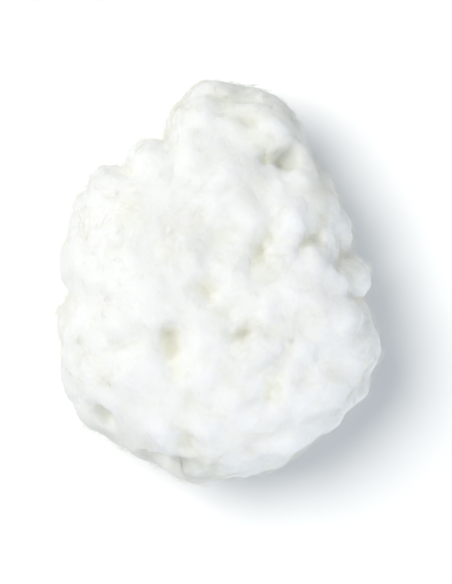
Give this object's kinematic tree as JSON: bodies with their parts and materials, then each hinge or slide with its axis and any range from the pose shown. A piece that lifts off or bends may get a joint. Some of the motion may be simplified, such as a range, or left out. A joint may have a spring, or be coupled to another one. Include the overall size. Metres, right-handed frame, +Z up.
{
  "type": "polyester wadding",
  "caption": "Loose egg-shaped tuft of white polyester fibre fill, balled into soft clumps with hollows pulled open between them, lying on its flattened underside.",
  "frame": {"origin": "middle of the underside of the tuft's box, on the table that the tuft rests on", "axes": "+Z up from the table, +Y along the tuft's length towards its narrow crown end, +X towards the side with the waist"},
  "size_m": [0.0954, 0.1186, 0.0593],
  "materials": {
    "polyester_fibre": "matte"
  },
  "bodies": {
    "root": {"wadding_tuft": "polyester_fibre"}
  },
  "joints": []
}
